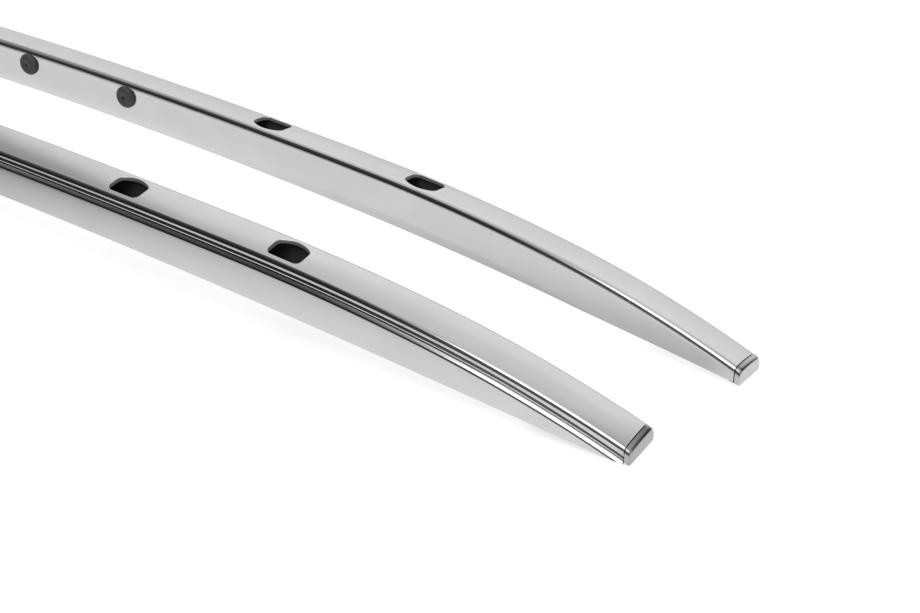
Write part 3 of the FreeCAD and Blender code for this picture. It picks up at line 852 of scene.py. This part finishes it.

# The narrow step between cap and rail is painted dark at its bottom, as painted shade.
EDGE_OF_SEAM = 0.01
FACES_ALONG = 0.9
front_cap = joined(cap_meshes())
front_cap.materials.clear()
front_cap.materials.append(silver_paint)
front_cap.materials.append(seam_shade)
for polygon in front_cap.polygons:
    polygon.use_smooth = True
    past_rail = polygon.center.x / MM - HALF
    in_seam = -EDGE_OF_SEAM < past_rail < CAP_SEAM_WIDTH - EDGE_OF_SEAM
    polygon.material_index = int(in_seam and abs(polygon.normal.x) < FACES_ALONG)
front_cap.set_sharp_from_angle(angle=CAP_SHARP_FROM)
for side, half, shift in (("left", 1, STAGGER / 2), ("right", -1, -STAGGER / 2)):
    for end, way in (("front", 1), ("rear", -1)):
        mesh = front_cap.copy()
        placed = Matrix.Translation((shift * MM, 0, base_level))
        mesh.transform(placed @ Matrix.Diagonal((way, half, 1, 1)))
        if half * way < 0:
            mesh.flip_normals()
        cap = bpy.data.objects.new("%s_cap_%s" % (side, end), mesh)
        bpy.context.scene.collection.objects.link(cap)
        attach(cap, "root")
        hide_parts("%s_end_cap_%s" % (side, end))


# The side buffers
# Each is a dark rubber button, moulded with an eye in its face and a barbed stem, and pushed into
# a bore in the rail's inner wall.
RUBBER_TONES = ((0.055, 0.058, 0.064), (0.085, 0.088, 0.095))
rubber = grained_material("dark_moulded_rubber", 1800.0, RUBBER_TONES, 0.00002, (0.52, 0.66))


def dress(kind, material):
    """Gives the solids of one kind their material."""
    for name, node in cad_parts.items():
        if kind in name:
            for slot in node.material_slots:
                slot.material = material


dress("side_buffer", rubber)


# The roof spacers
# Each is a block of black moulded plastic between the rail's web and the roof. It is drilled for
# the roof's stud, and the nut on that stud clamps it.
BLACK_TONES = ((0.018, 0.018, 0.02), (0.034, 0.034, 0.036))
black_moulding = grained_material("black_moulding", 1500.0, BLACK_TONES, 0.00003, (0.5, 0.64))
dress("roof_spacer", black_moulding)


# The studio
# A white floor with a painted pool of light and painted shades, a room that the metal mirrors as
# rings of brightness, one softbox in front of the rails, and a camera at the photo's view.
WHITE = 1.2
FLOOR_HALF = 14.0
FLOOR_ALBEDO = 0.6
FLOOR_GLOW = 0.76
LESS_WHERE_LIT = 0.8

# Steps along X or Y: from where, to where, in metres, and the level at either end.
LIGHT_POOL = (("Y", -0.42, -0.25, 0.0, 1.0), ("Y", -0.33, -0.1, 0.62, 1.0))
FLOOR_SHADES = (
    # Behind the near rail, darker towards the front ends, and clear past them.
    (("Y", -0.05, 0.05, 0.0, 0.44), ("X", 0.2, 0.8, 0.0, 0.8), ("X", 0.87, 0.92, 1.0, 0.0)),
    # In front of the near rail, a little darker towards the rear.
    (("Y", -0.17, -0.11, 1.0, 0.0), ("X", 0.0, 0.45, 0.2, 0.0)),
    # Past the front ends, darkest in front of the near rail.
    (("X", 0.87, 0.92, 0.0, 1.0), ("Y", -0.03, 0.06, 0.3, 0.08)),
)


def floor_steps(tree, place, steps):
    """The product of several steps over the floor."""
    level = None
    for axis, start, end, at_start, at_end in steps:
        step = ranged(tree, place.outputs[axis], start, end, at_start, at_end, smooth=True)
        level = step if level is None else figured(tree, "MULTIPLY", level, step, clamp=True)
    return level


def floor_material():
    """A floor that is white to the camera, and that glows in the metal where its painted light pool
    lies, less in its painted shades.
    """
    material, tree, shader = new_material("studio_floor")
    surface = tree.nodes.new("ShaderNodeNewGeometry")
    place = tree.nodes.new("ShaderNodeSeparateXYZ")
    link(tree, surface.outputs["Position"], place.inputs[0])
    lit = floor_steps(tree, place, LIGHT_POOL)
    for steps in FLOOR_SHADES:
        lit = figured(tree, "SUBTRACT", lit, floor_steps(tree, place, steps), clamp=True)
    # The painted light pool and painted shades set the floor's colour.
    albedo = figured(tree, "MULTIPLY", lit, FLOOR_ALBEDO)
    link(tree, albedo, shader.inputs["Base Color"])
    shader.inputs["Roughness"].default_value = 0.9
    shader.inputs["Specular IOR Level"].default_value = 0.0
    seen = tree.nodes.new("ShaderNodeLightPath")
    mirrored_rays = (seen.outputs["Is Glossy Ray"], seen.outputs["Is Transmission Ray"])
    in_metal = figured(tree, "ADD", *mirrored_rays, clamp=True)
    glow = figured(tree, "MULTIPLY", in_metal, figured(tree, "MULTIPLY", lit, FLOOR_GLOW), clamp=True)
    strength = tree.nodes.new("ShaderNodeMix")
    link(tree, seen.outputs["Is Camera Ray"], strength.inputs["Factor"])
    link(tree, glow, strength.inputs[2])
    link(tree, figured(tree, "MULTIPLY_ADD", albedo, -LESS_WHERE_LIT, WHITE), strength.inputs[3])
    shader.inputs["Emission Color"].default_value = (1.0, 1.0, 1.0, 1.0)
    link(tree, strength.outputs[0], shader.inputs["Emission Strength"])
    return material


floor_mesh = bpy.data.meshes.new("studio_floor")
corners = [(x * FLOOR_HALF, y * FLOOR_HALF, 0) for x, y in ((-1, -1), (1, -1), (1, 1), (-1, 1))]
floor_mesh.from_pydata(corners, [], [(0, 1, 2, 3)])
floor = bpy.data.objects.new("studio_floor", floor_mesh)
bpy.context.scene.collection.objects.link(floor)
floor_mesh.materials.append(floor_material())

# The room's brightness round the horizon: stops of a direction in degrees, from +X to +Y, and a level.
ROOM_FOOT = (
    (-180, 0.4), (-160, 0.3), (-148, 0.12), (-138, 0.03), (-116, 0.02), (-104, 0.15), (-60, 0.15),
    (-45, 0.3), (-30, 0.45), (25, 0.45), (38, 0.05), (60, 0.05), (76, 0.5), (86, 0.85), (132, 0.9),
    (141, 0.9), (150, 0.45), (180, 0.4))

# Rings above it: the elevations between which a ring takes over from the one below, and its stops.
ROOM_RINGS = (
    (10, 22, (
        (-180, 0.4), (-160, 0.3), (-148, 0.12), (-138, 0.04), (-116, 0.02), (-104, 0.12), (-60, 0.15),
        (-45, 0.3), (-30, 0.5), (25, 0.5), (38, 0.05), (60, 0.05), (76, 0.6), (86, 1.05), (132, 1.05),
        (141, 1.0), (150, 0.45), (180, 0.4))),
    (24, 34, (
        (-180, 0.4), (-165, 0.3), (-150, 0.15), (-138, 0.06), (-116, 0.03), (-104, 0.12), (-60, 0.2),
        (-45, 0.3), (-30, 0.5), (25, 0.5), (40, 0.1), (70, 0.15), (84, 1.15), (130, 1.15), (141, 1.0),
        (149, 0.5), (160, 0.42), (180, 0.4))),
    (44, 51, (
        (-180, 0.55), (-166, 0.5), (-160, 0.1), (-124, 0.1), (-117, 0.3), (-112, 0.8), (-107, 1.7),
        (-54, 1.7), (-25, 0.6), (30, 0.5), (42, 0.3), (68, 0.4), (84, 1.15), (115, 1.1), (130, 0.93),
        (150, 0.72), (170, 0.55), (180, 0.55))),
    (52, 58, (
        (-180, 0.8), (-168, 0.75), (-161, 0.08), (-138, 0.1), (-124, 0.25), (-117, 0.5), (-111, 1.3),
        (-107, 1.7), (-50, 1.7), (-20, 0.6), (60, 0.5), (84, 1.0), (115, 0.95), (140, 0.84), (165, 0.78),
        (180, 0.78))),
    (61, 67, (
        (-180, 0.8), (-150, 0.6), (-135, 0.6), (-120, 0.95), (-110, 1.7), (-40, 1.7), (-15, 0.8),
        (55, 0.5), (70, 0.65), (88, 0.88), (150, 0.85), (180, 0.8))),
    (77, 84, ((-180, 0.95), (180, 0.95))),
)


def room_ramp(tree, around, stops):
    """The brightness of one ring, from how far round the horizon a direction lies."""
    node = tree.nodes.new("ShaderNodeValToRGB")
    while len(node.color_ramp.elements) < len(stops):
        node.color_ramp.elements.new(0.5)
    for element, (degrees, level) in zip(node.color_ramp.elements, stops):
        element.position = (degrees + 180) / 360
        element.color = (level, level, level, 1.0)
    link(tree, around, node.inputs["Fac"])
    return node.outputs["Color"]


def studio_world():
    """The room: a pale backdrop behind the rails, a dark wall to the left, a bright panel in front."""
    world = bpy.data.worlds.new("studio")
    bpy.context.scene.world = world
    world.use_nodes = True
    tree = world.node_tree
    place = tree.nodes.new("ShaderNodeTexCoord")
    parts = tree.nodes.new("ShaderNodeSeparateXYZ")
    link(tree, place.outputs["Generated"], parts.inputs[0])
    turn = figured(tree, "ARCTAN2", parts.outputs["Y"], parts.outputs["X"])
    around = ranged(tree, turn, -math.pi, math.pi, 0.0, 1.0)
    sky = room_ramp(tree, around, ROOM_FOOT)
    for low, high, stops in ROOM_RINGS:
        start, end = (math.sin(math.radians(elevation)) for elevation in (low, high))
        above = ranged(tree, parts.outputs["Z"], start, end, 0.0, 1.0, smooth=True)
        sky = blended(tree, above, sky, room_ramp(tree, around, stops))
    seen = tree.nodes.new("ShaderNodeLightPath")
    shown = blended(tree, seen.outputs["Is Camera Ray"], sky, (WHITE, WHITE, WHITE))
    link(tree, shown, tree.nodes["Background"].inputs["Color"])


studio_world()


def softbox(name, place, aim, width, depth, watts):
    """A rectangular lamp at a place, turned towards a point."""
    light = bpy.data.lights.new(name, "AREA")
    light.shape = "RECTANGLE"
    light.size = width
    light.size_y = depth
    light.energy = watts
    lamp = bpy.data.objects.new(name, light)
    lamp.location = place
    lamp.rotation_euler = (Vector(aim) - Vector(place)).to_track_quat("-Z", "Y").to_euler()
    bpy.context.scene.collection.objects.link(lamp)


softbox("front softbox", place=(0.9, -1.9, 2.6), aim=(0.5, 0.0, 0.0), width=1.4, depth=1.2, watts=9.0)

PHOTO_WIDTH = 920
FOCAL_PIXELS = 1760.6
SENSOR_WIDTH = 36.0
VIEW_PLACE = (1.4290, -1.1022, 0.8284)
VIEW_TURN = math.radians(34.24)
VIEW_DROP = math.radians(31.09)
camera_data = bpy.data.cameras.new("photo_view")
camera_data.sensor_fit = "HORIZONTAL"
camera_data.sensor_width = SENSOR_WIDTH
camera_data.lens = SENSOR_WIDTH * FOCAL_PIXELS / PHOTO_WIDTH
camera = bpy.data.objects.new("photo_view", camera_data)
camera.location = VIEW_PLACE
camera.rotation_euler = (math.pi / 2 - VIEW_DROP, 0.0, VIEW_TURN)
bpy.context.scene.collection.objects.link(camera)
bpy.context.scene.camera = camera
bpy.context.scene.view_settings.view_transform = "Standard"
